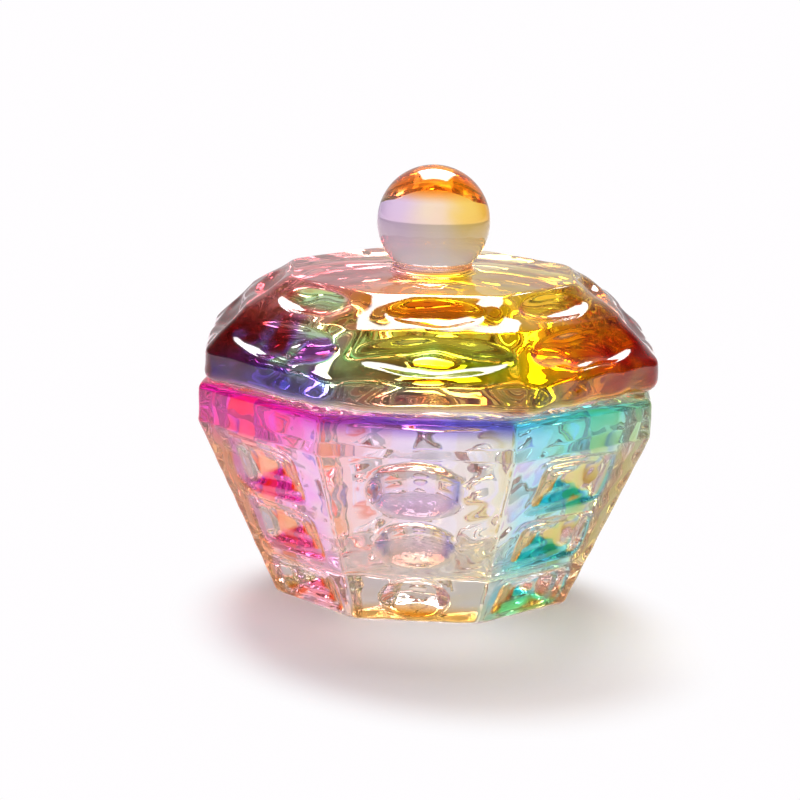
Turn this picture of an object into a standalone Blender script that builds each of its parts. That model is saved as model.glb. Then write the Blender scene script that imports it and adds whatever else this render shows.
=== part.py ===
"""Manicure jar: an octagonal pressed-glass jar and its lift-off lid with a ball knob.

Metres, +Z up. The origin is the centre of the base, on the surface that the jar stands on.
Flat faces of the body look along +X, -X, +Y and -Y. The lid rests on the rim, turned a few
degrees on its round plug as in the photograph, and lifts straight up.
"""

import math

import bpy
from mathutils import Matrix

MM = 0.001

# The octagon
FACES = 8
SECTOR = 2 * math.pi / FACES
HALF_SECTOR = SECTOR / 2

# Jar body, outside
BODY_FLATS = 40.0 * MM
TAPER_INSET = 7.0 * MM
TAPER_HEIGHT = 16.4 * MM
BAND_HEIGHT = 3.5 * MM
BODY_EDGE_ROUND = 0.7 * MM

# Jar body, inside
RIM_WALL = 4.0 * MM
MOUTH_DEPTH = 3.2 * MM
MOUTH_EDGE_ROUND = 1.5 * MM
WELL_WALL = 2.6 * MM
WELL_FILLET = 1.0 * MM
FLOOR_THICKNESS = 4.4 * MM

# Hollows of the body, from the top row down: oval thumbprints on the front, the back and the two
# sides, four-sided points on the faces between. Centres and heights are shares of the sloping
# face's length, an oval's width is a share of the face's width at its centre, and a point is
# deepest at a share of its height.
BODY_PRINT_DEPTH = 1.2 * MM
BODY_PRINT_ROWS_SHARES = (
    # centre, width, height
    (0.815, 0.54, 0.335),
    (0.485, 0.50, 0.275),
    (0.165, 0.50, 0.240),
)
BODY_PRINT_FACES = (0, 2, 4, 6)
POINT_WIDTH = 9.4 * MM
POINT_DEPTH = 1.6 * MM
POINT_PEAK_SHARE = 0.42
POINT_ROWS_SHARES = (
    # centre, height
    (0.812, 0.316),
    (0.465, 0.290),
    (0.136, 0.250),
)
POINT_FACES = (1, 3, 5, 7)
POINT_CUTTER_PROUD = 0.05 * MM

# Lid
LID_SEAT_GAP = 0.3 * MM
LID_TURN = math.radians(4.0)
LID_SKIRT_HEIGHT = 2.8 * MM
LID_LOWER_TIER_INSET = 3.5 * MM
LID_LOWER_TIER_HEIGHT = 3.7 * MM
LID_UPPER_TIER_INSET = 3.8 * MM
LID_UPPER_TIER_HEIGHT = 2.5 * MM
LID_EDGE_ROUND = 1.1 * MM
LID_PRINT_DEPTH = 0.75 * MM
LID_PRINT_ROWS_SHARES = (
    # centre, width, height
    (0.50, 0.86, 0.74),
    (0.50, 0.68, 0.72),
)

# Plug and hollow under the lid
PLUG_CLEARANCE = 0.4 * MM
PLUG_DEPTH = 2.2 * MM
PLUG_WALL = 2.6 * MM
PLUG_EDGE_ROUND = 0.5 * MM
HOLLOW_DEPTH = 3.4 * MM

# Knob
KNOB_DIAMETER = 10.2 * MM
KNOB_CENTRE_RISE = 4.5 * MM
NECK_DIAMETER = 7.2 * MM
NECK_FLARE = 0.7 * MM

# Cutting and meshing
PRINT_CENTRE_OUT_SHARE = 0.40
OVERRUN = 1.0 * MM
ROUND_STEPS = 64
PRINT_SEGMENTS = 26
PRINT_RINGS = 14
EDGE_SEGMENTS = 3
ARC_SEGMENTS = 5
KNOB_SEGMENTS = 14
DOME_SEGMENTS = 10
EDGE_ANGLE = math.radians(15)
SMOOTH_ANGLE = math.radians(31)
MERGE_DISTANCE = 0.001 * MM

# Widths and levels that several pieces share
BASE_FLATS = BODY_FLATS - 2 * TAPER_INSET
MOUTH_RADIUS = BODY_FLATS / 2 - RIM_WALL
PLUG_RADIUS = MOUTH_RADIUS - PLUG_CLEARANCE
LID_FLATS = BODY_FLATS
LID_SHOULDER_FLATS = LID_FLATS - 2 * LID_LOWER_TIER_INSET
LID_TOP_FLATS = LID_SHOULDER_FLATS - 2 * LID_UPPER_TIER_INSET
BODY_HEIGHT = TAPER_HEIGHT + BAND_HEIGHT
LID_BASE = BODY_HEIGHT + LID_SEAT_GAP
LID_SKIRT_TOP = LID_BASE + LID_SKIRT_HEIGHT
LID_SHOULDER = LID_SKIRT_TOP + LID_LOWER_TIER_HEIGHT
LID_TOP = LID_SHOULDER + LID_UPPER_TIER_HEIGHT

GLASS_ROUGHNESS = 0.04
BODY_COLOUR = (0.93, 0.62, 0.80, 1.0)
LID_COLOUR = (0.93, 0.66, 0.33, 1.0)


def clear_scene():
    """Remove every object, so that the script can run again in an open file."""
    for item in list(bpy.data.objects):
        bpy.data.objects.remove(item, do_unlink=True)


def make_collection(name, hidden):
    """Add a collection to the scene, hidden from renders where it holds cutters."""
    group = bpy.data.collections.new(name)
    bpy.context.scene.collection.children.link(group)
    group.hide_render = hidden
    return group


def make_glass(name, colour):
    """Return the Principled material of one glass piece."""
    material = bpy.data.materials.new(name)
    material.use_nodes = True
    shader = material.node_tree.nodes["Principled BSDF"]
    shader.inputs["Base Color"].default_value = colour
    shader.inputs["Roughness"].default_value = GLASS_ROUGHNESS
    shader.inputs["Metallic"].default_value = 0.0
    return material


def arc(centre_radius, centre_height, radius, start, stop, segments):
    """Return profile points on a circle, from the angle start to the angle stop in degrees."""
    result = []
    for index in range(segments + 1):
        angle = math.radians(start + (stop - start) * index / segments)
        reach = centre_radius + radius * math.cos(angle)
        height = centre_height + radius * math.sin(angle)
        result.append((reach, height))
    return result


def turned(name, profile, steps, start_angle, group):
    """Turn a profile of (radius, height) points about the Z axis, top first."""
    points = [
        (radius * math.cos(start_angle), radius * math.sin(start_angle), height)
        for radius, height in profile
    ]
    mesh = bpy.data.meshes.new(name)
    mesh.from_pydata(points, [(n, n + 1) for n in range(len(points) - 1)], [])
    item = bpy.data.objects.new(name, mesh)
    group.objects.link(item)
    screw = item.modifiers.new("Turn", "SCREW")
    screw.steps = steps
    screw.render_steps = steps
    screw.use_merge_vertices = True
    screw.merge_threshold = MERGE_DISTANCE
    return item


def octagonal(name, levels, edge_round, group):
    """Stack octagons given as (distance across flats, height), top first, with rounded edges."""
    corner_ratio = 1 / math.cos(HALF_SECTOR)
    outline = [(flats / 2 * corner_ratio, height) for flats, height in levels]
    profile = [(0, outline[0][1])] + outline + [(0, outline[-1][1])]
    item = turned(name, profile, FACES, HALF_SECTOR, group)
    bevel = item.modifiers.new("Round edges", "BEVEL")
    bevel.width = edge_round
    bevel.segments = EDGE_SEGMENTS
    bevel.limit_method = "ANGLE"
    bevel.angle_limit = EDGE_ANGLE
    return item


def combine(item, other, operation):
    """Join another solid to an object, or cut it away, with an exact Boolean."""
    boolean = item.modifiers.new(other.name, "BOOLEAN")
    boolean.operation = operation
    boolean.solver = "EXACT"
    boolean.object = other
    other.parent = item
    other.display_type = "WIRE"
    other.hide_render = True


def join(pieces, name, group):
    """Join mesh objects into one object of the given name, in the given collection only."""
    joined = pieces[0]
    with bpy.context.temp_override(
        active_object=joined, selected_objects=pieces, selected_editable_objects=pieces
    ):
        bpy.ops.object.join()
    joined.name = name
    for holder in list(joined.users_collection):
        holder.objects.unlink(joined)
    group.objects.link(joined)
    return joined


def point_cutters(name, lower, upper, group):
    """Return one mesh of pyramids that press a column of four-sided points into some faces.

    lower and upper are the (distance across flats, height) at the two ends of the face. Each
    pyramid goes on a little outside the face.
    """
    run = (lower[0] - upper[0]) / 2
    rise = upper[1] - lower[1]
    slope = math.hypot(run, rise)
    lean = math.atan2(run, rise)
    growth = (POINT_DEPTH + POINT_CUTTER_PROUD) / POINT_DEPTH
    half_width = POINT_WIDTH / 2 * growth
    pieces = []
    for centre_share, height_share in POINT_ROWS_SHARES:
        peak_share = centre_share + height_share * (POINT_PEAK_SHARE - 1 / 2)
        apothem = lower[0] / 2 - run * peak_share
        place = Matrix.Translation((apothem, 0, lower[1] + rise * peak_share))
        above = slope * height_share * (1 - POINT_PEAK_SHARE) * growth
        below = slope * height_share * POINT_PEAK_SHARE * growth
        points = [
            (-POINT_DEPTH, 0, 0),
            (POINT_CUTTER_PROUD, half_width, above),
            (POINT_CUTTER_PROUD, -half_width, above),
            (POINT_CUTTER_PROUD, -half_width, -below),
            (POINT_CUTTER_PROUD, half_width, -below),
        ]
        for face in POINT_FACES:
            mesh = bpy.data.meshes.new(name)
            mesh.from_pydata(points, [], [(0, 2, 1), (0, 3, 2), (0, 4, 3), (0, 1, 4), (1, 2, 3, 4)])
            turn = Matrix.Rotation(face * SECTOR, 4, "Z")
            mesh.transform(turn @ place @ Matrix.Rotation(-lean, 4, "Y"))
            piece = bpy.data.objects.new(name, mesh)
            bpy.context.scene.collection.objects.link(piece)
            pieces.append(piece)
    return join(pieces, name, group)


def print_cutters(name, lower, upper, rows, depth, faces, group):
    """Return one mesh of ellipsoids that press a column of thumbprints into some faces.

    lower and upper are the (distance across flats, height) at the two ends of the face. Each
    ellipsoid's rings are parallel to its face, so that the outline of the print is even.
    """
    run = (lower[0] - upper[0]) / 2
    rise = upper[1] - lower[1]
    slope = math.hypot(run, rise)
    lean = math.atan2(run, rise)
    semi_depth = depth / (1 - PRINT_CENTRE_OUT_SHARE)
    spread = math.sqrt(1 - PRINT_CENTRE_OUT_SHARE**2)
    pieces = []
    for centre_share, width_share, height_share in rows:
        apothem = lower[0] / 2 - run * centre_share
        width = 2 * apothem * math.tan(HALF_SECTOR) * width_share
        height = slope * height_share
        size = Matrix.Diagonal((semi_depth, width / 2 / spread, height / 2 / spread, 1))
        out = Matrix.Translation((semi_depth * PRINT_CENTRE_OUT_SHARE, 0, 0))
        shape = out @ size @ Matrix.Rotation(math.pi / 2, 4, "Y")
        place = Matrix.Translation((apothem, 0, lower[1] + rise * centre_share))
        for face in faces:
            bpy.ops.mesh.primitive_uv_sphere_add(
                segments=PRINT_SEGMENTS, ring_count=PRINT_RINGS, radius=1
            )
            ball = bpy.context.object
            turn = Matrix.Rotation(face * SECTOR, 4, "Z")
            ball.data.transform(turn @ place @ Matrix.Rotation(-lean, 4, "Y") @ shape)
            pieces.append(ball)
    return join(pieces, name, group)


def finish(item, material):
    """Give a piece its material and smooth shading that keeps the pressed edges."""
    item.data.materials.append(material)
    with bpy.context.temp_override(
        object=item, active_object=item, selected_objects=[item], selected_editable_objects=[item]
    ):
        bpy.ops.object.shade_smooth_by_angle(angle=SMOOTH_ANGLE)


def make_body(parts, cutters):
    """Model the jar body: a straight band over tapering faces, hollows and a round well."""
    body = octagonal(
        "jar_body",
        [(BODY_FLATS, BODY_HEIGHT), (BODY_FLATS, TAPER_HEIGHT), (BASE_FLATS, 0)],
        BODY_EDGE_ROUND,
        parts,
    )
    outside_at_floor = BASE_FLATS / 2 + TAPER_INSET * FLOOR_THICKNESS / TAPER_HEIGHT
    well = outside_at_floor - WELL_WALL
    shoulder = BODY_HEIGHT - MOUTH_DEPTH
    wall_lean = math.atan2(MOUTH_RADIUS - well, shoulder - FLOOR_THICKNESS)
    fillet_tangent = WELL_FILLET * math.tan((math.pi / 2 - wall_lean) / 2)
    rim = arc(
        MOUTH_RADIUS + MOUTH_EDGE_ROUND,
        BODY_HEIGHT - MOUTH_EDGE_ROUND,
        MOUTH_EDGE_ROUND,
        90,
        180,
        ARC_SEGMENTS,
    )
    corner = arc(
        well - fillet_tangent,
        FLOOR_THICKNESS + WELL_FILLET,
        WELL_FILLET,
        -math.degrees(wall_lean),
        -90,
        ARC_SEGMENTS,
    )
    above = BODY_HEIGHT + OVERRUN
    profile = [
        (0, above),
        (rim[0][0], above),
        *rim,
        (MOUTH_RADIUS, shoulder),
        *corner,
        (0, FLOOR_THICKNESS),
    ]
    combine(body, turned("well_cutter", profile, ROUND_STEPS, 0, cutters), "DIFFERENCE")
    lower = (BASE_FLATS, 0)
    upper = (BODY_FLATS, TAPER_HEIGHT)
    prints = print_cutters(
        "body_print_cutter",
        lower,
        upper,
        BODY_PRINT_ROWS_SHARES,
        BODY_PRINT_DEPTH,
        BODY_PRINT_FACES,
        cutters,
    )
    combine(body, prints, "DIFFERENCE")
    points = point_cutters("body_point_cutter", lower, upper, cutters)
    combine(body, points, "DIFFERENCE")
    finish(body, make_glass("body_glass", BODY_COLOUR))
    return body


def make_lid(parts, cutters):
    """Model the lid: a skirt, two tiers of faces with thumbprints, a plug and a ball knob."""
    lid = octagonal(
        "lid",
        [
            (LID_TOP_FLATS, LID_TOP),
            (LID_SHOULDER_FLATS, LID_SHOULDER),
            (LID_FLATS, LID_SKIRT_TOP),
            (LID_FLATS, LID_BASE),
        ],
        LID_EDGE_ROUND,
        parts,
    )
    knob_radius = KNOB_DIAMETER / 2
    neck = NECK_DIAMETER / 2
    knob_centre = LID_TOP + KNOB_CENTRE_RISE
    neck_angle = math.degrees(math.acos(neck / knob_radius))
    ball = arc(0, knob_centre, knob_radius, 90, -neck_angle, KNOB_SEGMENTS)
    flare = arc(neck + NECK_FLARE, LID_TOP + NECK_FLARE, NECK_FLARE, 180, 270, ARC_SEGMENTS)
    inside = LID_TOP - OVERRUN
    knob_profile = [*ball, *flare, (neck + NECK_FLARE, inside), (0, inside)]
    combine(lid, turned("knob_solid", knob_profile, ROUND_STEPS, 0, cutters), "UNION")

    plug_base = LID_BASE - PLUG_DEPTH
    foot = arc(
        PLUG_RADIUS - PLUG_EDGE_ROUND,
        plug_base + PLUG_EDGE_ROUND,
        PLUG_EDGE_ROUND,
        0,
        -90,
        ARC_SEGMENTS,
    )
    above = LID_BASE + OVERRUN
    plug_profile = [(0, above), (PLUG_RADIUS, above), *foot, (0, plug_base)]
    combine(lid, turned("plug_solid", plug_profile, ROUND_STEPS, 0, cutters), "UNION")

    hollow = PLUG_RADIUS - PLUG_WALL
    dome_radius = (hollow**2 + HOLLOW_DEPTH**2) / (2 * HOLLOW_DEPTH)
    dome_centre = plug_base + HOLLOW_DEPTH - dome_radius
    edge_angle = math.degrees(math.asin((dome_radius - HOLLOW_DEPTH) / dome_radius))
    below = plug_base - OVERRUN
    dome = arc(0, dome_centre, dome_radius, 90, edge_angle, DOME_SEGMENTS)
    hollow_profile = [*dome, (hollow, below), (0, below)]
    combine(lid, turned("hollow_cutter", hollow_profile, ROUND_STEPS, 0, cutters), "DIFFERENCE")

    lower_row, upper_row = LID_PRINT_ROWS_SHARES
    skirt_top = (LID_FLATS, LID_SKIRT_TOP)
    shoulder = (LID_SHOULDER_FLATS, LID_SHOULDER)
    top = (LID_TOP_FLATS, LID_TOP)
    tiers = (
        ("lid_lower_print_cutter", skirt_top, shoulder, lower_row),
        ("lid_upper_print_cutter", shoulder, top, upper_row),
    )
    for name, lower, upper, row in tiers:
        cutter = print_cutters(name, lower, upper, (row,), LID_PRINT_DEPTH, range(FACES), cutters)
        combine(lid, cutter, "DIFFERENCE")
    lid.rotation_euler = (0, 0, LID_TURN)
    finish(lid, make_glass("lid_glass", LID_COLOUR))
    return lid


def main():
    """Build the jar body and the lid, each as one named solid."""
    clear_scene()
    parts = make_collection("manicure_jar", False)
    cutters = make_collection("cutters", True)
    make_body(parts, cutters)
    make_lid(parts, cutters)


main()
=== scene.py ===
"""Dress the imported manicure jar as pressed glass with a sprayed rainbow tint.

The jar body and the lid are each one closed surface, worked out with numpy as a profile carried
round an octagon, with ellipsoids and pyramids pressed into the faces. Every length is in metres
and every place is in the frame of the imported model: +Z up, -Y towards the camera.
"""

import logging
import math
from dataclasses import dataclass
from enum import Enum
from typing import Any, Sequence

import bpy
import numpy as np
from mathutils import Matrix, Vector


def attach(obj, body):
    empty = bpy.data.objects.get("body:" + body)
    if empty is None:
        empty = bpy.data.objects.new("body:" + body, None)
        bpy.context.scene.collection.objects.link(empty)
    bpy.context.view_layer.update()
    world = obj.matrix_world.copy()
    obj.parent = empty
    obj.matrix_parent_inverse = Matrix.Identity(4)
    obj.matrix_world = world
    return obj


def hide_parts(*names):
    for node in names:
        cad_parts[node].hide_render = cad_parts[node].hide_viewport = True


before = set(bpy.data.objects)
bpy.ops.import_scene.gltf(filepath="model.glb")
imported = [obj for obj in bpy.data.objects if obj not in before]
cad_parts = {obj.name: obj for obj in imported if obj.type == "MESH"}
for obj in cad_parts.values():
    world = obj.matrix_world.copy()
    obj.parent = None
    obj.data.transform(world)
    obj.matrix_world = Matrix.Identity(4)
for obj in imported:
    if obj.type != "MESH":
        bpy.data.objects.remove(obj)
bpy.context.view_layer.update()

log = logging.getLogger("manicure_jar")

MM = 0.001
FACES = 8
SECTOR = 2 * math.pi / FACES
HALF_SECTOR = SECTOR / 2
WHITE = (1.0, 0.985, 1.0)       # the white of the light, with a trace of magenta

Array = np.ndarray
Socket = bpy.types.NodeSocket
Colour = tuple[float, float, float]
Point = tuple[float, float]     # reach and height
Span = tuple[float, float]      # where a change starts and where it ends


def rising(value: Array, low: float, high: float) -> Array:
    """Return 0 below low, 1 above high and a straight line between."""
    return np.clip((value - low) / (high - low), 0, 1)


class Section(Enum):
    """Shape of a level's horizontal section."""

    OCTAGON = 0.0
    ROUND = 1.0


@dataclass(frozen=True)
class Corner:
    """One corner of a profile, where two straight runs meet.

    reach is the distance from the axis to a flat (or the radius of a round level), fillet is the
    radius that rounds the corner, and step is the spacing of the rows on the run that follows.
    """

    reach: float
    height: float
    fillet: float
    section: Section
    step: float = 0.6 * MM


class Hollow(Enum):
    """Form of a pressed hollow."""

    OVAL = "thumbprint, part of an ellipsoid"
    POINTED = "four-sided pyramid"


def placed(name: str, data: bpy.types.ID) -> bpy.types.Object:
    """Return a new object of the scene with this mesh or camera."""
    item = bpy.data.objects.new(name, data)
    bpy.context.scene.collection.objects.link(item)
    return item


@dataclass(frozen=True)
class Glaze:
    """Colours that the vapour leaves in an oval: in its upper part, lower part and two ends.

    The colour goes from the lower to the upper part over the span rises, and from there to that of
    the ends over the span spreads. bare is how much of the piece's own tint the oval misses.
    """

    upper: Colour
    lower: Colour
    ends: Colour
    bare: float = 0.0
    rises: Span = (-0.3, 0.1)
    spreads: Span = (0.55, 0.85)

    def tint(self, inside: Array, across: Array, rise: Array) -> Array:
        """Return what white light keeps of itself at each point.

        Args:
            inside: 1 in the oval and 0 outside, where the colour is white.
            across: place along the oval's width, from -1 to 1.
            rise: place along its height.
        """
        up = rising(rise, *self.rises)[..., None]
        end = rising(np.abs(across), *self.spreads)[..., None]
        colour = np.array(self.lower) * (1 - up) + np.array(self.upper) * up
        colour = colour * (1 - end) + np.array(self.ends) * end
        return 1 - (1 - colour) * inside[..., None]


@dataclass(frozen=True)
class Spot:
    """Where a hollow lies on a face: centre and height are shares of the face's slope."""

    centre: float
    height: float


@dataclass(frozen=True)
class Thumb(Spot):
    """A thumbprint's spot, with its width as a share of the face's there, and its glaze."""

    width: float
    glaze: Glaze


@dataclass(frozen=True)
class Tier:
    """A tier of faces with one thumbprint each: its shares of the face, and glazes by face."""

    width: float
    height: float
    glazes: dict[int, Glaze]


@dataclass(frozen=True)
class Print:
    """A row of hollows round the piece, between two profile corners.

    centre is the share of the slope at the row's middle, width, height and depth are lengths,
    first and every tell which faces carry the hollow, peak is the share of the height at which
    it is deepest, hold is how much of the hollows' own tint it shows, and glaze its second tint.
    """

    shape: Hollow
    lower: Point
    upper: Point
    centre: float
    width: float
    height: float
    depth: float
    first: int = 0
    every: int = 1
    peak: float = 0.5
    hold: float = 0.35
    glaze: Glaze | None = None


@dataclass
class Rows:
    """Profile rows from the underside pole to the upper pole."""

    reach: Array
    height: Array
    roundness: Array

    def joined(self, other: "Rows") -> "Rows":
        """Return these rows followed by the rows of another profile."""
        return Rows(
            np.concatenate([self.reach, other.reach]),
            np.concatenate([self.height, other.height]),
            np.concatenate([self.roundness, other.roundness]),
        )


def rounded_profile(corners: Sequence[Corner], fillet_rows: int = 7) -> Rows:
    """Round the corners of a polyline and sample it.

    Each inner corner becomes an arc tangent to both runs: the tangent length is the fillet times
    tan(turn / 2), and the arc turns evenly from one run's direction to the other's.

    Args:
        corners: the corners in order; the first and the last are the ends of the profile.
        fillet_rows: rows on each arc.

    Returns:
        The sampled rows.
    """
    place = np.array([(c.reach, c.height) for c in corners])
    run = np.diff(place, axis=0)
    length = np.linalg.norm(run, axis=1)
    heading = np.arctan2(run[:, 1], run[:, 0])
    turn = (np.diff(heading) + math.pi) % (2 * math.pi) - math.pi
    cut = np.zeros(len(corners))
    cut[1:-1] = np.array([c.fillet for c in corners[1:-1]]) * np.tan(np.abs(turn) / 2)
    parts: list[Array] = []
    levels: list[Array] = []
    for index in range(len(corners) - 1):
        along = run[index] / length[index]
        start = place[index] + along * cut[index]
        stop = place[index + 1] - along * cut[index + 1]
        count = max(2, round(float(np.linalg.norm(stop - start)) / corners[index].step))
        share = np.linspace(0, 1, count + 1)[:, None]
        parts.append(start + (stop - start) * share)
        round_from = corners[index].section.value
        round_to = corners[index + 1].section.value
        levels.append(round_from + (round_to - round_from) * share[:, 0])
        if index < len(turn) and corners[index + 1].fillet > 0:
            side = math.copysign(1.0, turn[index])
            radius = corners[index + 1].fillet
            normal = np.array([-math.sin(heading[index]), math.cos(heading[index])]) * side
            centre = stop + normal * radius
            angle = heading[index] + turn[index] * np.linspace(0, 1, fillet_rows + 2)[1:-1]
            spoke = np.stack([np.sin(angle), -np.cos(angle)], axis=1) * side
            parts.append(centre + spoke * radius)
            levels.append(np.full(fillet_rows, round_to))
    track = np.concatenate(parts)
    return Rows(track[:, 0], track[:, 1], np.concatenate(levels))


def arc_profile(centre: Point, radius: float, start: float, stop: float, count: int) -> Rows:
    """Sample a circular arc of a round level: centre + radius * (cos a, sin a).

    Args:
        centre: (reach, height) of the arc's centre.
        radius: the arc's radius.
        start: first angle in radians, from the outward direction.
        stop: last angle.
        count: number of rows.

    Returns:
        The rows of the arc, all with a round section.
    """
    angle = np.linspace(start, stop, count)
    reach = np.maximum(centre[0] + radius * np.cos(angle), 0)
    return Rows(reach, centre[1] + radius * np.sin(angle), np.ones(count))


# Directions of the waves in radians per metre, one row to a wave, and their phases.
WAVE_DIRECTIONS = np.array([
    (820, 380, 600), (-520, 760, 900), (1040, -660, -420), (-300, -940, 1040), (640, 500, -980)
])
WAVE_PHASES = np.array([0.3, 1.9, 3.1, 4.4, 5.2])


@dataclass(frozen=True)
class Waves:
    """The faint waves of fire-polished glass.

    They die out above the calm level. Beyond the under reach and below the under level they are
    under_ripple times as high, and within that reach and below the inner level inner_ripple
    times. They level off towards the highest wave.
    """

    ripple: float
    scale: float
    calm_level: float = 1.0
    blend: float = 1.0 * MM
    under_level: float = -1.0
    under_blend: float = 0.3 * MM
    under_ripple: float = 1.0
    under_reach: float = 15.0 * MM
    inner_level: float = -1.0
    inner_ripple: float = 1.0
    highest: float = 0.18 * MM

    def height(self, place: Array) -> Array:
        """Return the waves' height at each point: a sum of sines along slanting directions."""
        reach, z = np.hypot(place[..., 0], place[..., 1]), place[..., 2]
        height = np.sin(self.scale * (place @ WAVE_DIRECTIONS.T) + WAVE_PHASES).sum(axis=-1) / 2
        calm = 1 - rising(z, self.calm_level - self.blend, self.calm_level)
        beyond = rising(reach, self.under_reach, self.under_reach + self.blend)
        under = beyond * (1 - rising(z, self.under_level - self.under_blend, self.under_level))
        within = 1 - rising(z, self.inner_level - self.blend, self.inner_level)
        inner = (1 - beyond) * within
        share = calm * (1 + (self.under_ripple - 1) * under) * (1 + (self.inner_ripple - 1) * inner)
        return self.highest * np.tanh(self.ripple * height * share / self.highest)


@dataclass
class PressedGlass:
    """A closed piece of pressed glass: profile rows carried round an octagon.

    Columns crowd towards the corners of the octagon, so that their rounding stays smooth. The
    fields from face_margin to terrace_skew shape the hollows. The last six say how far the hue
    follows the slope of a face and of a hollow, how much tint gathers in a hollow, and over which
    upward parts of the surface's normal the vapour reaches it and gathers.
    """

    name: str
    rows: Rows
    corner_radius: float
    prints: Sequence[Print]
    waves: Waves
    turn: float = 0.0
    columns_per_face: int = 44
    corner_crowding: float = 0.62
    corner_share: float = 0.35
    face_margin: float = 0.45 * MM
    crease: float = 0.04 * MM
    edge_fade: Span = (1.1, 1.9)
    edge_depth: Span = (0.048, 0.168)
    centre_out: float = 0.40
    ridge_power: float = 6.0
    tip_round: float = 0.006
    terrace: float = 0.07 * MM
    terrace_rate: float = 5 * math.pi
    terrace_skew: float = 2.0
    facet_hue: float = 0.35
    hollow_hue: float = 1.6
    hollow_gather: float = 0.0
    reached: Span = (-0.85, 0.1)
    reached_power: float = 1.2
    gathered: Span = (-0.2, 0.1)

    def columns(self) -> tuple[Array, Array]:
        """Return each column's angle from its face's normal, and that normal's azimuth.

        The angle is half a sector times (s + k sin(pi s) / pi) for s from -1 to 1, which packs
        the columns near the corners.
        """
        s = np.linspace(-1, 1, self.columns_per_face, endpoint=False)
        offset = HALF_SECTOR * (s + self.corner_crowding * np.sin(math.pi * s) / math.pi)
        azimuth = np.repeat(np.arange(FACES) * SECTOR, self.columns_per_face)
        return np.tile(offset, FACES), azimuth

    def section_radius(self, offset: Array) -> Array:
        """Return the radius of every row at every column.

        On a flat the radius is reach / cos(offset). Near a corner it is the distance to an arc of
        the corner radius, whose centre lies on the corner's spoke. A round level keeps its reach.
        """
        reach = self.rows.reach[:, None]
        rho = np.minimum(self.corner_radius, self.corner_share * reach)
        centre = (reach - rho) / math.cos(HALF_SECTOR)
        away = HALF_SECTOR - np.abs(offset)[None, :]
        flat = reach / np.cos(offset)[None, :]
        inside = np.maximum(rho**2 - (centre * np.sin(away)) ** 2, 0)
        arc = centre * np.cos(away) + np.sqrt(inside)
        on_arc = np.abs(np.tan(offset))[None, :] * reach > (reach - rho) * math.tan(HALF_SECTOR)
        octagon = np.where(on_arc, arc, flat)
        blend = self.rows.roundness[:, None]
        return octagon * (1 - blend) + reach * blend

    def oval(self, row: Print, q: Array) -> Array:
        """Return how deep an ellipsoid of half depth c sinks, its centre c * share outside.

        That is c * (sqrt(1 - q * spread) - share), where q is the squared distance from the
        print's middle in units of its half axes.
        """
        spread = 1 - self.centre_out**2
        half_depth = row.depth / (1 - self.centre_out)
        return half_depth * (np.sqrt(np.maximum(1 - q * spread, 0)) - self.centre_out)

    def pressed(
        self, out: Array, side: Array, up: Array
    ) -> tuple[Array, Array, Array]:
        """Push the hollows into the faces, in place.

        The sink of each hollow goes through a soft maximum with zero, which rounds its edge, and
        fades out beyond that. A pyramid sinks by depth * (1 - m), where m is a high-power mean of
        the two coordinates, plus terraces: low waves of m, skewed to the side.

        Args:
            out: distance of each vertex along its face's normal, level with the ground.
            side: distance along the face's width.
            up: height.

        Returns:
            Each row's hold in its hollows, 0 outside them and a short slope between; the colour
            of the glaze, which is white outside the ovals; and the share of the vapour that each
            point got.
        """
        hollow = np.zeros_like(out)
        colour = np.ones((*out.shape, 3))
        vapour = np.ones_like(out)
        face = np.repeat(np.arange(FACES), self.columns_per_face)[None, :]
        for row in self.prints:
            run = np.array(row.upper) - np.array(row.lower)
            along = run / float(np.linalg.norm(run))
            normal = np.array([along[1], -along[0]])
            middle = np.array(row.lower) + run * row.centre
            v = (out - middle[0]) * along[0] + (up - middle[1]) * along[1]
            off_plane = (out - middle[0]) * normal[0] + (up - middle[1]) * normal[1]
            near = (np.abs(off_plane) < self.face_margin) & ((face - row.first) % row.every == 0)
            across = side / (row.width / 2)
            climb = v / row.height + 0.5 - row.peak
            rise = climb / np.where(climb > 0, 1 - row.peak, row.peak)
            if row.shape is Hollow.OVAL:
                q = across**2 + rise**2
                sink = self.oval(row, q)
            else:
                power = self.ridge_power
                m = (np.abs(across) ** power + np.abs(rise) ** power) ** (1 / power)
                q = m**2
                steps = self.terrace * np.sin(self.terrace_rate * m + self.terrace_skew * across)
                sink = row.depth * (1 - np.sqrt(q + self.tip_round)) + steps
            sink = 0.5 * (sink + np.sqrt(sink**2 + self.crease**2))
            fade = 1 - rising(q, *self.edge_fade)
            sink = np.where(near, sink * fade * fade * (3 - 2 * fade), 0)
            inside = rising(sink / row.depth, *self.edge_depth)
            hollow = np.maximum(hollow, row.hold * inside)
            if row.glaze:
                colour *= row.glaze.tint(inside, across, rise)
                vapour *= 1 - row.glaze.bare * inside
            out -= sink * normal[0]
            up -= sink * normal[1]
        return hollow, colour, vapour

    def points(self) -> tuple[Array, Array, Array, Array]:
        """Return the vertices, the mark of the hollows, glaze and vapour, each a grid by rows."""
        offset, azimuth = self.columns()
        radius = self.section_radius(offset)
        out = radius * np.cos(offset)[None, :]
        side = radius * np.sin(offset)[None, :]
        up = np.repeat(self.rows.height[:, None], len(offset), axis=1)
        hollow, colour, vapour = self.pressed(out, side, up)
        facing = azimuth[None, :] + self.turn - math.pi / 2
        x = out * np.cos(facing) - side * np.sin(facing)
        y = out * np.sin(facing) + side * np.cos(facing)
        grid = np.stack([x, y, up], axis=-1)
        around = np.roll(grid, -1, axis=1) - np.roll(grid, 1, axis=1)
        climb = np.gradient(grid, axis=0)
        normal = np.cross(around, climb)
        size = np.linalg.norm(normal, axis=-1, keepdims=True)
        normal = normal / np.maximum(size, 1e-12)
        return grid + normal * self.waves.height(grid)[..., None], hollow, colour, vapour

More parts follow.
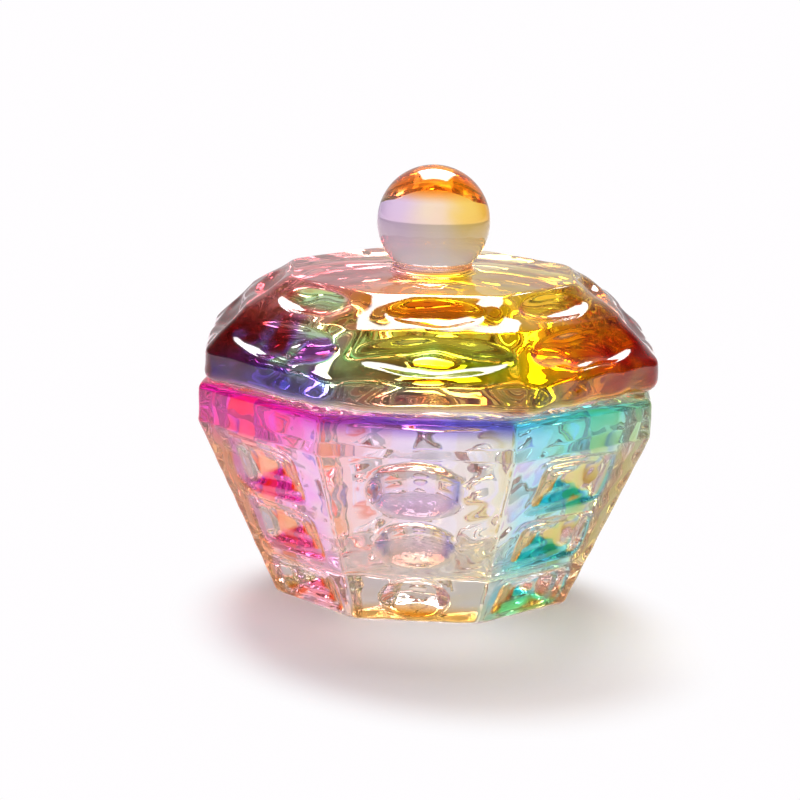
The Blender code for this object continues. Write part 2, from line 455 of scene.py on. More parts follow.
    def spray(self, mesh: bpy.types.Mesh, outside: Array, hollow: Array) -> Array:
        """Return where the vapour landed: a level direction for the hue and the tint's strength.

        The direction is partly that of the place and partly that of the surface's normal. In the
        hollows it turns further with the slope to the side. The tint came from above, so it
        thins out where the surface faces down, and gathers where a hollow faces up.

        Args:
            mesh: the finished mesh.
            outside: 1 for the vertices that the vapour reached and 0 for the inner ones.
            hollow: 1 for the vertices in hollows and 0 for the others.

        Returns:
            An array of (x, y, strength).
        """
        count = len(mesh.vertices)
        normal = np.empty(count * 3, dtype=np.float32)
        place = np.empty(count * 3, dtype=np.float32)
        mesh.vertex_normals.foreach_get("vector", normal)
        mesh.vertices.foreach_get("co", place)
        normal, place = normal.reshape(-1, 3), place.reshape(-1, 3)
        level = np.maximum(np.linalg.norm(place[:, :2], axis=1, keepdims=True), 1e-6)
        heading = self.facet_hue * normal[:, :2] + (1 - self.facet_hue) * place[:, :2] / level
        azimuth = np.arctan2(place[:, 1], place[:, 0]) - self.turn
        face = np.round(azimuth / SECTOR) * SECTOR + self.turn
        aside = np.stack([-np.sin(face), np.cos(face)], axis=1)
        slant = (normal[:, :2] * aside).sum(axis=1) * hollow
        heading = heading + self.hollow_hue * slant[:, None] * aside
        facing_up = rising(normal[:, 2], *self.reached) ** self.reached_power
        gathered = 1 + self.hollow_gather * hollow * rising(normal[:, 2], *self.gathered)
        strength = outside * facing_up * gathered
        return np.concatenate([heading, strength[:, None]], axis=1)

    def mesh(self, outside: Array) -> bpy.types.Object:
        """Build the closed mesh: quads between the rows and a fan at each pole.

        Args:
            outside: 1 for each row that the tint reached, 0 for the inner rows. The attribute
                "spray" holds what came of it, and "glaze" the colour in the ovals.

        Returns:
            The new object, at the origin.
        """
        grid, hollow, colour, vapour = self.points()
        body = grid[1:-1]
        rows, columns = body.shape[:2]
        vertices = np.concatenate([body.reshape(-1, 3), grid[0, :1], grid[-1, :1]])
        vertices[-2:, :2] = 0
        here = np.arange(rows * columns).reshape(rows, columns)
        right = np.roll(here, -1, axis=1)
        quads = np.stack([here[:-1], right[:-1], right[1:], here[1:]], axis=-1).reshape(-1, 4)
        low, high = rows * columns, rows * columns + 1
        bottom = np.stack([right[0], here[0], np.full(columns, low)], axis=-1)
        top = np.stack([here[-1], right[-1], np.full(columns, high)], axis=-1)
        loops = np.concatenate([quads.ravel(), bottom.ravel(), top.ravel()])
        totals = np.concatenate([np.full(len(quads), 4), np.full(2 * columns, 3)])
        mesh = bpy.data.meshes.new(self.name)
        mesh.vertices.add(len(vertices))
        mesh.vertices.foreach_set("co", vertices.astype(np.float32).ravel())
        mesh.loops.add(len(loops))
        mesh.loops.foreach_set("vertex_index", loops.astype(np.int32))
        mesh.polygons.add(len(totals))
        starts = np.concatenate([[0], np.cumsum(totals)[:-1]])
        mesh.polygons.foreach_set("loop_start", starts.astype(np.int32))
        mesh.polygons.foreach_set("use_smooth", np.ones(len(totals), dtype=bool))
        mesh.update(calc_edges=True)
        mesh.validate()
        reached = (outside[1:-1, None] * vapour[1:-1]).ravel()
        reached = np.concatenate([reached, outside[:1], outside[-1:]])
        dents = np.concatenate([hollow[1:-1].ravel(), [0, 0]])
        layer = mesh.attributes.new("spray", "FLOAT_VECTOR", "POINT")
        layer.data.foreach_set("vector", self.spray(mesh, reached, dents).astype(np.float32).ravel())
        coats = np.ones((len(vertices), 4), dtype=np.float32)
        coats[:-2, :3] = colour[1:-1].reshape(-1, 3)
        layer = mesh.attributes.new("glaze", "FLOAT_COLOR", "POINT")
        layer.data.foreach_set("color", coats.ravel())
        return placed(self.name, mesh)


class Nodes:
    """Builds shader nodes: one method for any node, with its settings and socket values."""

    def __init__(self, tree: bpy.types.NodeTree) -> None:
        """Keep the tree and clear it."""
        self.tree = tree
        tree.nodes.clear()

    def add(self, kind: str, settings: dict[str, Any] | None = None, **sockets: Any) -> bpy.types.Node:
        """Add a node.

        Args:
            kind: Blender's name for the node type, without ShaderNode.
            settings: attributes of the node, such as an operation, set first.
            **sockets: values or links by socket name, with _ for a space, or in0, in1 by index.

        Returns:
            The new node.
        """
        node = self.tree.nodes.new("ShaderNode" + kind)
        for key, value in (settings or {}).items():
            setattr(node, key, value)
        for key, value in sockets.items():
            if key.startswith("in") and key[2:].isdigit():
                socket = node.inputs[int(key[2:])]
            else:
                socket = node.inputs[key.replace("_", " ")]
            self.feed(socket, value)
        return node

    def feed(self, socket: Socket, value: Any) -> None:
        """Set a socket to a number, a colour or a link."""
        if isinstance(value, Wire):
            self.tree.links.new(value.socket, socket)
        elif isinstance(value, Socket):
            self.tree.links.new(value, socket)
        elif isinstance(value, tuple) and len(value) == 3 and len(socket.default_value) == 4:
            socket.default_value = (*value, 1.0)
        else:
            socket.default_value = value

    def ramp(self, factor: "Wire", stops: Sequence[tuple[float, Colour]]) -> Socket:
        """Return the colour of a ramp with the given (place, colour) stops."""
        node = self.add("ValToRGB", Fac=factor)
        band = node.color_ramp
        band.interpolation = "EASE"
        while len(band.elements) < len(stops):
            band.elements.new(0.5)
        for element, (place, colour) in zip(band.elements, stops):
            element.position = place
            element.color = (*colour, 1.0)
        return node.outputs["Color"]

    def parts(self, vector: Socket) -> list["Wire"]:
        """Return the three numbers of a vector."""
        return [Wire(self, socket) for socket in self.add("SeparateXYZ", Vector=vector).outputs]

    def ray(self, kind: str) -> "Wire":
        """Return 1 for rays of a kind, such as Camera, and 0 for the others."""
        return Wire(self, self.add("LightPath").outputs[f"Is {kind} Ray"])

    def mix(self, factor: Any, first: Any, second: Any, blend: str = "MIX") -> Socket:
        """Return the mix of two colours."""
        settings = {"data_type": "RGBA", "blend_type": blend}
        return self.add("Mix", settings, in0=factor, in6=first, in7=second).outputs[2]


@dataclass(frozen=True)
class Wire:
    """A number carried by a node socket, with arithmetic that adds Math nodes."""

    nodes: Nodes
    socket: Socket

    def _math(self, operation: str, first: Any, second: Any = 0.0) -> "Wire":
        """Add a Math node and return its result."""
        node = self.nodes.add("Math", {"operation": operation}, in0=first, in1=second)
        return Wire(self.nodes, node.outputs[0])

    def __add__(self, other: Any) -> "Wire":
        """Return self + other."""
        return self._math("ADD", self, other)

    def __sub__(self, other: Any) -> "Wire":
        """Return self - other."""
        return self._math("SUBTRACT", self, other)

    def __rsub__(self, other: Any) -> "Wire":
        """Return other - self."""
        return self._math("SUBTRACT", other, self)

    def __mul__(self, other: Any) -> "Wire":
        """Return self * other."""
        return self._math("MULTIPLY", self, other)

    def __rmul__(self, other: Any) -> "Wire":
        """Return other * self."""
        return self._math("MULTIPLY", other, self)

    def __truediv__(self, other: Any) -> "Wire":
        """Return self / other."""
        return self._math("DIVIDE", self, other)

    def ramped(self, low: float, high: float) -> "Wire":
        """Return 0 below low, 1 above high and a smooth step between."""
        settings = {"interpolation_type": "SMOOTHSTEP", "clamp": True}
        node = self.nodes.add("MapRange", settings, Value=self, From_Min=low, From_Max=high)
        return Wire(self.nodes, node.outputs[0])

    def root(self) -> "Wire":
        """Return the square root."""
        return self._math("SQRT", self)

    def absolute(self) -> "Wire":
        """Return the size without the sign."""
        return self._math("ABSOLUTE", self)

    def angle_with(self, other: "Wire") -> "Wire":
        """Return atan2(self, other)."""
        return self._math("ARCTAN2", self, other)


@dataclass(frozen=True)
class Band:
    """Colours round the piece at one height: at the back, and the stops between.

    A stop is (azimuth in degrees, colour): 0 is the front, positive to the right, and 180 the
    back. A colour is what white light keeps of itself on one pass of the tint.
    """

    level: float
    back: Colour
    stops: Sequence[tuple[float, Colour]]

    def ramp(self) -> list[tuple[float, Colour]]:
        """Return the stops once round from the back, as shares of a turn."""
        stops = ((-180, self.back), *self.stops, (180, self.back))
        return [(angle / 360 + 0.5, colour) for angle, colour in stops]


@dataclass(frozen=True)
class RainbowGlass:
    """Clear glass with a vapour tint on the outside, whose colour goes round the piece.

    The bands are in rising order, and between two of them the colour is mixed. The attribute
    "spray" gives the direction that picks the hue and the strength of the tint, and "glaze" a
    second tint.
    """

    name: str
    bands: Sequence[Band]
    ior: float = 1.52
    roughness: float = 0.0
    density: float = 1.0
    marbling: float = 0.10
    marble_scale: float = 260.0
    marble_detail: float = 1.5
    marble_distortion: float = 0.6

    def material(self) -> bpy.types.Material:
        """Return the finished material.

        A pass through the surface takes the square root of Base Color, so that is the band's
        colour to the power of twice the tint's density, thinned by its strength at the place.
        """
        material = bpy.data.materials.new(self.name)
        material.use_nodes = True
        nodes = Nodes(material.node_tree)
        place = nodes.add("TexCoord").outputs["Object"]
        z = nodes.parts(place)[2]
        x, y, mask = nodes.parts(nodes.add("Attribute", {"attribute_name": "spray"}).outputs["Vector"])
        grain = {"Detail": self.marble_detail, "Distortion": self.marble_distortion}
        noise = nodes.add("TexNoise", Vector=place, Scale=self.marble_scale, **grain)
        marble = Wire(nodes, noise.outputs[0])
        azimuth = x.angle_with(0.0 - y) / (2 * math.pi) + 0.5 + (marble - 0.5) * self.marbling
        hue = None
        for band, below in zip(self.bands, (None, *self.bands)):
            ring = nodes.ramp(azimuth, band.ramp())
            hue = ring if below is None else nodes.mix(z.ramped(below.level, band.level), hue, ring)
        power = mask * (2 * self.density)
        tint = nodes.add("Gamma", Color=hue, Gamma=power).outputs[0]
        glaze = nodes.add("Attribute", {"attribute_name": "glaze"}).outputs["Color"]
        colour = nodes.mix(1.0, tint, glaze, "MULTIPLY")
        sockets = {"Roughness": self.roughness, "IOR": self.ior, "Transmission Weight": 1.0}
        shader = nodes.add("BsdfPrincipled", Base_Color=colour, **sockets)
        nodes.add("OutputMaterial", Surface=shader.outputs[0])
        return material


BODY_BANDS = (
    Band(0.8 * MM, (0.98, 0.90, 0.88), (
        (-120, (1.00, 0.70, 0.60)), (-80, (0.98, 0.46, 0.24)), (-56, (0.98, 0.50, 0.30)),
        (-42, (1.00, 0.80, 0.84)), (-14, (0.95, 0.53, 0.12)), (12, (0.90, 0.50, 0.08)),
        (22, (0.72, 0.94, 0.56)), (42, (0.62, 1.00, 0.74)), (56, (0.78, 0.64, 0.26)),
        (82, (0.74, 0.60, 0.22)), (120, (0.94, 0.88, 0.62)),
    )),
    Band(2.4 * MM, (0.95, 0.90, 0.98), (
        (-120, (1.00, 0.76, 0.68)), (-80, (0.98, 0.42, 0.18)), (-56, (0.98, 0.44, 0.20)),
        (-50, (1.00, 0.60, 0.72)), (-36, (0.98, 0.56, 0.72)), (-28, (0.98, 0.74, 0.74)),
        (-14, (0.96, 0.85, 0.76)), (14, (0.93, 0.89, 0.72)), (28, (0.88, 0.94, 0.66)),
        (36, (0.36, 0.90, 0.90)), (50, (0.34, 0.84, 0.84)), (56, (0.78, 0.64, 0.26)),
        (82, (0.74, 0.60, 0.20)), (120, (0.94, 0.88, 0.66)),
    )),
    Band(13.5 * MM, (0.94, 0.86, 0.98), (
        (-125, (1.00, 0.68, 0.62)), (-82, (1.00, 0.46, 0.24)), (-56, (1.00, 0.40, 0.16)),
        (-50, (0.98, 0.36, 0.80)), (-36, (0.97, 0.46, 0.92)), (-28, (0.98, 0.70, 0.80)),
        (-10, (0.95, 0.86, 0.97)), (10, (0.92, 0.88, 0.97)), (28, (0.86, 0.94, 0.74)),
        (36, (0.44, 0.90, 0.97)), (50, (0.34, 0.86, 0.94)), (56, (0.78, 0.66, 0.26)),
        (84, (0.72, 0.60, 0.20)), (130, (0.92, 0.86, 0.62)),
    )),
    Band(17.8 * MM, (0.97, 0.86, 0.90), (
        (-130, (1.00, 0.50, 0.45)), (-85, (1.00, 0.32, 0.33)), (-48, (1.00, 0.20, 0.82)),
        (-24, (0.95, 0.66, 0.90)), (-6, (0.93, 0.88, 0.97)), (10, (0.90, 0.90, 0.97)),
        (26, (0.62, 0.90, 0.94)), (44, (0.42, 0.90, 0.96)), (60, (0.66, 0.86, 0.70)),
        (130, (0.85, 0.80, 0.50)),
    )),
    Band(19.6 * MM, (0.90, 0.70, 0.80), (
        (-130, (1.00, 0.45, 0.45)), (-85, (1.00, 0.25, 0.34)), (-48, (1.00, 0.14, 0.76)),
        (-24, (0.85, 0.26, 0.80)), (-4, (0.46, 0.26, 0.76)), (14, (0.34, 0.36, 0.84)),
        (30, (0.30, 0.76, 0.88)), (46, (0.30, 0.86, 0.88)), (64, (0.60, 0.82, 0.60)),
        (130, (0.75, 0.75, 0.45)),
    )),
)
BODY_TINT = RainbowGlass("body_glass_rainbow", BODY_BANDS, density=2.0, marbling=0.04)

LID_BANDS = (
    Band(21.5 * MM, (1.00, 0.88, 0.72), (
        (-135, (0.94, 0.52, 0.54)), (-95, (0.66, 0.12, 0.26)), (-64, (0.50, 0.09, 0.14)),
        (-48, (0.32, 0.19, 0.78)), (-34, (0.26, 0.25, 0.68)), (-24, (0.34, 0.35, 0.48)),
        (-10, (0.56, 0.52, 0.46)), (12, (0.78, 0.58, 0.28)), (30, (0.48, 0.50, 0.10)),
        (48, (0.90, 0.52, 0.05)), (70, (0.78, 0.17, 0.04)), (95, (0.66, 0.06, 0.06)),
        (135, (0.96, 0.62, 0.38)),
    )),
    Band(24.2 * MM, (1.00, 0.97, 0.90), (
        (-140, (0.91, 0.64, 0.66)), (-98, (0.60, 0.16, 0.18)), (-60, (0.50, 0.10, 0.10)),
        (-47, (0.50, 0.11, 0.13)), (-40, (0.52, 0.40, 0.80)), (-34, (0.66, 1.00, 0.80)),
        (-18, (0.64, 0.98, 0.60)), (8, (0.63, 0.73, 0.31)), (24, (1.00, 0.87, 0.15)),
        (38, (1.00, 0.72, 0.06)), (50, (1.00, 0.50, 0.04)), (62, (0.76, 0.10, 0.03)),
        (100, (0.62, 0.09, 0.09)), (140, (0.96, 0.74, 0.54)),
    )),
    Band(29.15 * MM, (1.00, 0.90, 0.74), (
        (-100, (0.96, 0.66, 0.70)), (-45, (0.96, 0.64, 0.66)), (-14, (0.95, 0.66, 0.28)),
        (6, (0.97, 0.74, 0.14)), (30, (0.98, 0.84, 0.14)), (70, (1.00, 0.91, 0.30)),
        (120, (1.00, 0.95, 0.66)),
    )),
    Band(29.8 * MM, (0.98, 0.91, 0.92), (
        (-90, (0.90, 0.74, 0.86)), (-35, (0.95, 0.80, 0.86)), (10, (0.99, 0.86, 0.80)),
        (45, (1.00, 0.82, 0.58)), (90, (1.00, 0.76, 0.36)),
    )),
    Band(35.8 * MM, (0.98, 0.91, 0.92), (
        (-90, (0.84, 0.78, 0.96)), (-35, (0.91, 0.86, 0.98)), (5, (0.99, 0.96, 0.84)),
        (40, (1.00, 0.92, 0.48)), (90, (1.00, 0.78, 0.22)),
    )),
    Band(37.2 * MM, (1.00, 0.72, 0.34), (
        (-60, (0.94, 0.60, 0.34)), (0, (1.00, 0.62, 0.18)), (60, (1.00, 0.72, 0.10)),
    )),
)
LID_TINT = RainbowGlass("lid_glass_rainbow", LID_BANDS, density=2.3)

BODY_GLAZE = Glaze((0.98, 0.90, 0.80), (0.92, 0.80, 1.00), (0.10, 0.16, 0.84))
LOWEST_GLAZE = Glaze((1.00, 0.92, 0.72), (0.92, 0.88, 0.84), (0.55, 0.48, 0.62), bare=0.55)


@dataclass
class JarBody:
    """The jar: upright band, tapering faces with three hollows each, round well.

    The faces carry thumbprints and pyramids by turns.
    """

    node: str = "jar_body"
    body: str = "body"
    slot: str = "body_glass"
    flats: float = 40.0 * MM
    taper_inset: float = 7.0 * MM
    taper_height: float = 16.4 * MM
    height: float = 19.9 * MM
    edge_round: float = 0.7 * MM
    corner_radius: float = 0.8 * MM
    mouth_round: float = 1.5 * MM
    rim_wall: float = 4.0 * MM
    mouth_depth: float = 3.2 * MM
    well_radius: float = 12.0 * MM
    well_round: float = 1.0 * MM
    floor: float = 4.4 * MM
    oval_depth: float = 1.2 * MM
    oval_centre_out: float = 0.72
    ovals: Sequence[Thumb] = (
        Thumb(centre=0.815, height=0.335, width=0.54, glaze=BODY_GLAZE),
        Thumb(centre=0.485, height=0.275, width=0.50, glaze=BODY_GLAZE),
        Thumb(centre=0.165, height=0.240, width=0.50, glaze=LOWEST_GLAZE),
    )
    pyramids: Sequence[Spot] = (
        Spot(centre=0.812, height=0.316),
        Spot(centre=0.465, height=0.290),
        Spot(centre=0.136, height=0.250),
    )
    pointed_width: float = 9.4 * MM
    pointed_depth: float = 1.6 * MM
    pointed_peak: float = 0.42
    fine_step: float = 0.16 * MM
    rim_step: float = 0.25 * MM
    step: float = 0.5 * MM
    coarse_step: float = 1.0 * MM
    gather: float = 0.7
    waves: Waves = Waves(ripple=0.018 * MM, scale=2.4)
    tint: RainbowGlass = BODY_TINT

    def profile(self) -> Rows:
        """Return the profile from under the base, up the outside and down into the well."""
        half = self.flats / 2
        base = half - self.taper_inset
        mouth = half - self.rim_wall
        corners = (
            Corner(0, 0, 0, Section.OCTAGON, self.coarse_step),
            Corner(base, 0, self.edge_round, Section.OCTAGON, self.fine_step),
            Corner(half, self.taper_height, self.edge_round, Section.OCTAGON, self.step),
            Corner(half, self.height, self.edge_round, Section.OCTAGON, self.rim_step),
            Corner(mouth, self.height, self.mouth_round, Section.ROUND, self.step),
            Corner(mouth, self.height - self.mouth_depth, self.well_round, Section.ROUND, self.step),
            Corner(self.well_radius, self.floor, self.well_round, Section.ROUND, self.coarse_step),
            Corner(0, self.floor, 0, Section.ROUND),
        )
        return rounded_profile(corners)

    def prints(self) -> list[Print]:
        """Return the three rows of hollows: ovals and pyramids on faces by turns."""
        half = self.flats / 2
        lower = (half - self.taper_inset, 0.0)
        upper = (half, self.taper_height)
        slope = math.dist(lower, upper)
        rows = []
        for thumb in self.ovals:
            reach = lower[0] + (upper[0] - lower[0]) * thumb.centre
            width = 2 * reach * math.tan(HALF_SECTOR) * thumb.width
            size = (width, slope * thumb.height, self.oval_depth)
            look = {"every": 2, "glaze": thumb.glaze}
            rows.append(Print(Hollow.OVAL, lower, upper, thumb.centre, *size, **look))
        for spot in self.pyramids:
            size = (self.pointed_width, slope * spot.height, self.pointed_depth)
            look = {"first": 1, "every": 2, "peak": self.pointed_peak, "hold": 1.0}
            rows.append(Print(Hollow.POINTED, lower, upper, spot.centre, *size, **look))
        return rows

    def build(self) -> bpy.types.Object:
        """Build, dress and place the jar body."""
        rows = self.profile()
        shell = PressedGlass(
            name="jar_body_glass",
            rows=rows,
            corner_radius=self.corner_radius,
            prints=self.prints(),
            waves=self.waves,
            hollow_gather=self.gather,
            centre_out=self.oval_centre_out,
        )
        inner = np.cumsum(rows.roundness > Section.ROUND.value / 2) > 0     # from the mouth inwards
        item = shell.mesh(np.where(inner, 0.0, 1.0))
        item.data.materials.append(self.tint.material())
        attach(item, self.body)
        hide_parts(self.node)
        return item


LOWER_TIER = Tier(width=0.86, height=0.74, glazes={
    0: Glaze((1.00, 0.96, 0.60), (0.90, 1.00, 0.80), (0.62, 0.44, 0.34)),
})
UPPER_TIER = Tier(width=0.68, height=0.72, glazes={
    0: Glaze((0.62, 0.12, 0.08), (0.84, 0.42, 0.30), (0.96, 0.86, 0.66)),
    1: Glaze((1.00, 0.80, 0.05), (0.90, 0.26, 0.04), (0.80, 0.10, 0.04), bare=0.65),
    7: Glaze((0.30, 0.90, 0.32), (0.84, 0.14, 0.10), (0.76, 0.08, 0.07), bare=0.9),
})

# On the lid the waves are calm from the flat top up, high on its underside and low on the plug
# and in the hollow under it.
LID_WAVES = Waves(
    ripple=0.07 * MM,
    scale=1.5,
    calm_level=29.45 * MM,
    under_level=20.4 * MM,
    under_ripple=2.6,
    inner_level=23.2 * MM,
    inner_ripple=0.15,
)


@dataclass
class Lid:
    """The lid: plug, skirt, two tiers of faces with thumbprints, and the ball knob."""

    node: str = "lid"
    body: str = "lid"
    slot: str = "lid_glass"
    turn: float = math.radians(4.0)
    flats: float = 40.0 * MM
    base: float = 20.2 * MM
    skirt_height: float = 2.8 * MM
    lower_inset: float = 3.5 * MM
    lower_height: float = 3.7 * MM
    upper_inset: float = 3.8 * MM
    upper_height: float = 2.5 * MM
    edge_round: float = 1.1 * MM
    corner_radius: float = 2.4 * MM
    plug_radius: float = 15.6 * MM
    plug_depth: float = 2.2 * MM
    plug_wall: float = 2.6 * MM
    plug_round: float = 0.5 * MM
    seat_round: float = 0.2 * MM
    hollow_depth: float = 3.4 * MM
    knob_diameter: float = 10.2 * MM
    knob_rise: float = 4.5 * MM
    neck_radius: float = 3.6 * MM
    neck_round: float = 0.7 * MM
    fine_step: float = 0.14 * MM
    neck_step: float = 0.2 * MM
    seat_step: float = 0.25 * MM
    top_step: float = 0.4 * MM
    step: float = 0.5 * MM
    dome_rows: int = 16
    ball_rows: int = 60
    print_depth: float = 0.75 * MM
    waves: Waves = LID_WAVES
    crease: float = 0.14 * MM
    hollow_hue: float = 0.5
    lower_tier: Tier = LOWER_TIER
    upper_tier: Tier = UPPER_TIER
    tint: RainbowGlass = LID_TINT

    def levels(self) -> tuple[Point, Point, Point]:
        """Return (reach, height) of the skirt's top, the shoulder and the top's edge."""
        half = self.flats / 2
        skirt = (half, self.base + self.skirt_height)
        shoulder = (half - self.lower_inset, skirt[1] + self.lower_height)
        top = (shoulder[0] - self.upper_inset, shoulder[1] + self.upper_height)
        return skirt, shoulder, top

    def profile(self) -> Rows:
        """Return the profile from the hollow under the plug, round the skirt, up to the knob."""
        skirt, shoulder, top = self.levels()
        half = self.flats / 2
        foot = self.base - self.plug_depth
        hollow = self.plug_radius - self.plug_wall
        dome = (hollow**2 + self.hollow_depth**2) / (2 * self.hollow_depth)
        dome_centre = (0.0, foot + self.hollow_depth - dome)
        edge = math.asin((dome - self.hollow_depth) / dome)
        under = arc_profile(dome_centre, dome, math.pi / 2, edge, self.dome_rows)
        knob = self.knob_diameter / 2
        knob_centre = top[1] + self.knob_rise
        neck_angle = math.acos(self.neck_radius / knob)
        neck_top = knob_centre - knob * math.sin(neck_angle)
        corners = (
            Corner(hollow, foot, 0, Section.ROUND),
            Corner(self.plug_radius, foot, self.plug_round, Section.ROUND, self.step),
            Corner(self.plug_radius, self.base, self.seat_round, Section.ROUND, self.seat_step),
            Corner(half, self.base, self.edge_round, Section.OCTAGON, self.step),
            Corner(*skirt, self.edge_round, Section.OCTAGON, self.fine_step),
            Corner(*shoulder, self.edge_round, Section.OCTAGON, self.fine_step),
            Corner(*top, self.edge_round, Section.OCTAGON, self.top_step),
            Corner(self.neck_radius, top[1], self.neck_round, Section.ROUND, self.neck_step),
            Corner(self.neck_radius, neck_top, 0, Section.ROUND),
        )
        ball = arc_profile((0.0, knob_centre), knob, -neck_angle, math.pi / 2, self.ball_rows)
        return under.joined(rounded_profile(corners)).joined(ball)

    def prints(self) -> list[Print]:
        """Return the thumbprints of each tier, one on each face."""
        skirt, shoulder, top = self.levels()
        rows = []
        for lower, upper, tier in ((skirt, shoulder, self.lower_tier), (shoulder, top, self.upper_tier)):
            width = (lower[0] + upper[0]) * math.tan(HALF_SECTOR) * tier.width
            size = (width, math.dist(lower, upper) * tier.height, self.print_depth)
            for face in range(FACES):
                look = {"first": face, "every": FACES, "glaze": tier.glazes.get(face)}
                rows.append(Print(Hollow.OVAL, lower, upper, 0.5, *size, **look))
        return rows

    def build(self) -> bpy.types.Object:
        """Build, dress and place the lid."""
        rows = self.profile()
        shell = PressedGlass(
            name="lid_glass",
            rows=rows,
            corner_radius=self.corner_radius,
            prints=self.prints(),
            waves=self.waves,
            turn=self.turn,
            crease=self.crease,
            hollow_hue=self.hollow_hue,
        )
        inner = rows.height < self.base - 0.01 * MM     # the plug and the hollow under it
        item = shell.mesh(np.where(inner, 0.0, 1.0))
        item.data.materials.append(self.tint.material())
        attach(item, self.body)
        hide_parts(self.node)
        return item


@dataclass
class Camera:
    """The photograph's camera, as it was fitted to the outline."""

    distance: float = 0.230
    elevation: float = math.radians(11.75)
    azimuth: float = math.radians(2.7)
    roll: float = math.radians(1.66)
    focal_pixels: float = 2522.0
    frame_pixels: float = 800.0
    aim_height: float = 19.5 * MM
    aim_pixel: tuple[float, float] = (429.2, 375.5)
    sensor: float = 36.0

    def build(self) -> None:
        """Place the camera."""
        data = bpy.data.cameras.new("camera")
        item = placed("camera", data)
        level = self.distance * math.cos(self.elevation)
        place = Vector((
            level * math.sin(self.azimuth),
            -level * math.cos(self.azimuth),
            self.aim_height + self.distance * math.sin(self.elevation),
        ))
        aim = Vector((0, 0, self.aim_height)) - place
        facing = aim.to_track_quat("-Z", "Y").to_matrix().to_4x4()
        item.rotation_euler = (facing @ Matrix.Rotation(self.roll, 4, "Z")).to_euler()
        item.location = place
        data.sensor_width = self.sensor
        data.lens = self.focal_pixels / self.frame_pixels * self.sensor
        middle = self.frame_pixels / 2
        data.shift_x = (middle - self.aim_pixel[0]) / self.frame_pixels
        data.shift_y = (self.aim_pixel[1] - middle) / self.frame_pixels
        data.clip_start = 1 * MM
        bpy.context.scene.camera = item


@dataclass
class Table:
    """The white table.

    To the camera it glows by lift in the shadow's core, less by dip round that, and fully beyond
    the shadow's edge; within the shadow that glow is painted light that lightens it. The shadow,
    cast by the light and partly painted, is a slanting ellipse, centre ahead of the axis of the
    jar, with the scales aside and ahead. The table's colour holds painted shade: near the jar
    pinkish on the left and grey on the right, mixed over the span warm, and a darker painted
    shadow in front, which it turns to over the span front. Light through glass sees it glow by
    through, a painted glow, and all rays but the camera's see it turn to a pale wall over the
    span end.
    """

    half: float = 2.0
    level: float = -0.05 * MM
    end: Span = (0.28, 0.36)
    centre: float = 14 * MM
    ahead: float = 0.8
    aside: float = 0.93
    slant: float = 0.17
    offset: float = 0.1 * MM
    core: Span = (2 * MM, 12 * MM)
    edge: Span = (15 * MM, 22.5 * MM)
    lift: float = 0.5
    dip: float = 0.3
    warm: Span = (-15 * MM, 10 * MM)
    front: Span = (14 * MM, 32 * MM)
    # painted shade near the jar (pinkish left, grey right) and a darker painted shadow in front
    near_painted_shade: tuple[Colour, Colour] = ((0.93, 0.83, 0.87), (0.93, 0.91, 0.89))
    front_painted_shadow: tuple[Colour, Colour] = ((0.70, 0.61, 0.64), (0.66, 0.61, 0.585))
    roughness: float = 0.9
    through: float = 0.55
    pale: float = 0.92
    wall_drop: float = 0.32

    def build(self) -> None:
        """Lay the table."""
        mesh = bpy.data.meshes.new("table")
        signs = ((-1, -1), (1, -1), (1, 1), (-1, 1))
        corners = [(x * self.half, y * self.half, self.level) for x, y in signs]
        mesh.from_pydata(corners, [], [(0, 1, 2, 3)])
        item = placed("table", mesh)
        material = bpy.data.materials.new("table_white")
        material.use_nodes = True
        nodes = Nodes(material.node_tree)
        place = nodes.add("TexCoord").outputs["Object"]
        length = nodes.add("VectorMath", {"operation": "LENGTH"}, in0=place).outputs["Value"]
        wall = Wire(nodes, length).ramped(*self.end)
        camera, through = nodes.ray("Camera"), nodes.ray("Transmission")
        x, y, _ = nodes.parts(place)
        aside = self.aside * (x + self.slant * y - self.offset)
        ahead = (y + self.centre) * self.ahead
        reach = (aside * aside + ahead * ahead).root()
        # painted light: the camera sees the table glow, less round the shadow's core, shaped by its
        # ellipse
        beyond = 1.0 - self.lift + self.dip
        lift = self.lift - self.dip * reach.ramped(*self.core) + beyond * reach.ramped(*self.edge)
        # painted shade and shadow in the table's colour, mixed from left to right and towards the front
        warm = x.ramped(*self.warm)
        near = nodes.mix(warm, *self.near_painted_shade)
        front = nodes.mix(warm, *self.front_painted_shadow)
        shade = nodes.mix((0.0 - y).ramped(*self.front), near, front)
        far = camera * lift + (1.0 - camera) * (wall + (1.0 - wall) * through * self.through)
        bright = camera + (1.0 - camera) * (self.pale - self.wall_drop * wall)
        matt = nodes.add("BsdfPrincipled", Base_Color=shade, Roughness=self.roughness)
        glow = nodes.add("Emission", Color=WHITE, Strength=bright)
        mixed = nodes.add("MixShader", in0=far, in1=matt.outputs[0], in2=glow.outputs[0])
        nodes.add("OutputMaterial", Surface=mixed.outputs[0])
        mesh.materials.append(material)


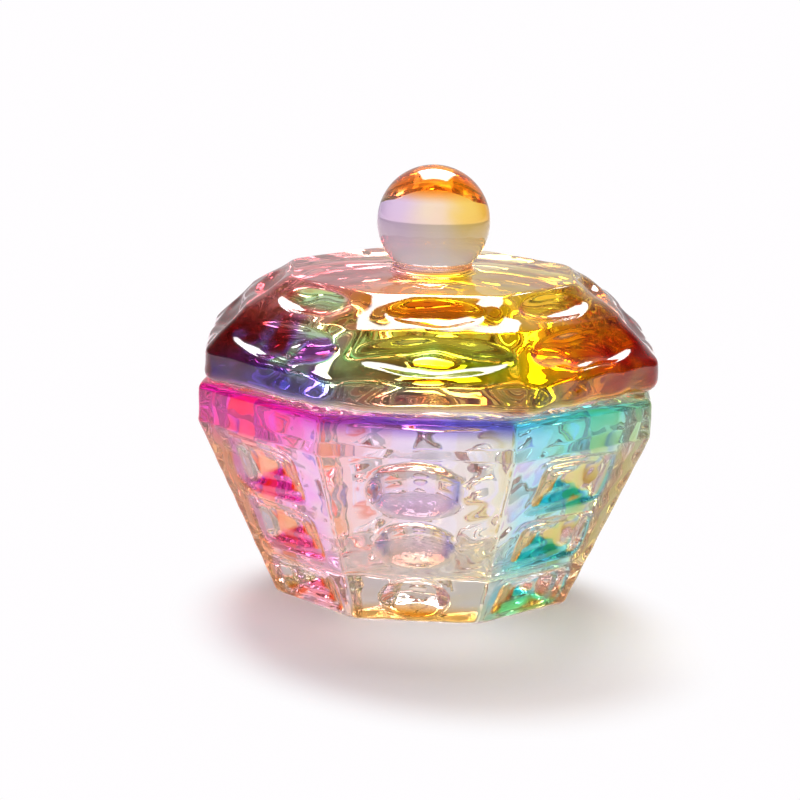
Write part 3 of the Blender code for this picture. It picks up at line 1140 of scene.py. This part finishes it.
@dataclass
class Surroundings:
    """The light: a large soft box behind and above, a pale wall behind and a dim room.

    The box lies round the direction (0, box_depth, box_height), and its spans are slopes from
    there. Diffuse rays see it weaker by soft_less and glossy ones stronger by gloss_more. The wall
    fades with the angle from straight behind, in radians, and the room with the height. Mirror
    images on the outside show the room darker at the sides, and diffuse rays see it even.
    """

    box_depth: float = 0.53
    box_height: float = 0.848
    box_sides: Span = (0.28, 0.34)
    box_ends: Span = (0.30, 0.36)
    box_front: Span = (0.1, 0.2)
    box_strength: float = 7.0
    soft_less: float = 3.4
    gloss_more: float = 9.0
    wall_strength: float = 0.62
    wall_drop: float = 0.34
    wall_fade: Span = (0.9, 1.9)
    ceiling_drop: float = 0.45
    ceiling_fade: Span = (0.5, 0.8)
    mirror_drop: float = 0.85
    mirror_fade: Span = (0.4, 0.9)
    soft_strength: float = 0.72

    def build(self) -> None:
        """Light the set from the world."""
        world = bpy.data.worlds.new("surroundings")
        bpy.context.scene.world = world
        world.use_nodes = True
        nodes = Nodes(world.node_tree)
        place = nodes.add("TexCoord").outputs["Generated"]
        across, depth, height = nodes.parts(place)
        toward = depth * self.box_depth + height * self.box_height
        right = (across / toward).absolute()
        rise = ((height * self.box_depth - depth * self.box_height) / toward).absolute()
        level = (1.0 - right.ramped(*self.box_sides)) * (1.0 - rise.ramped(*self.box_ends))
        box = level * toward.ramped(*self.box_front)
        side = across.angle_with(depth).absolute()
        wall = self.wall_strength - self.wall_drop * side.ramped(*self.wall_fade)
        room = wall * (1.0 - self.ceiling_drop * height.ramped(*self.ceiling_fade))
        camera, soft, gloss = (nodes.ray(kind) for kind in ("Camera", "Diffuse", "Glossy"))
        mirrored = gloss * (1.0 - nodes.ray("Transmission"))
        darker = self.mirror_drop * mirrored * side.ramped(*self.mirror_fade)
        dim = room * (1.0 - darker) + soft * (self.soft_strength - room)
        lamp = self.box_strength - self.soft_less * soft + self.gloss_more * gloss
        seen = camera + (1.0 - camera) * (dim + box * lamp)
        background = nodes.add("Background", Color=WHITE, Strength=seen)
        nodes.add("OutputWorld", Surface=background.outputs[0])


def settle(glass_bounces: int = 24, glossy_bounces: int = 12) -> None:
    """Set the view transform, and the bounces that light needs to get through two pieces."""
    scene = bpy.context.scene
    scene.view_settings.view_transform = "Standard"
    scene.cycles.max_bounces = glass_bounces
    scene.cycles.transmission_bounces = glass_bounces
    scene.cycles.glossy_bounces = glossy_bounces


def main() -> None:
    """Build the set, the jar and the lid."""
    logging.basicConfig(level=logging.INFO, format="%(name)s: %(message)s")
    for stage in (Camera(), Table(), Surroundings()):
        stage.build()
    settle()
    for part in (JarBody(), Lid()):
        item = part.build()
        log.info("%s: %d faces", item.name, len(item.data.polygons))


if __name__ == "__main__":
    main()
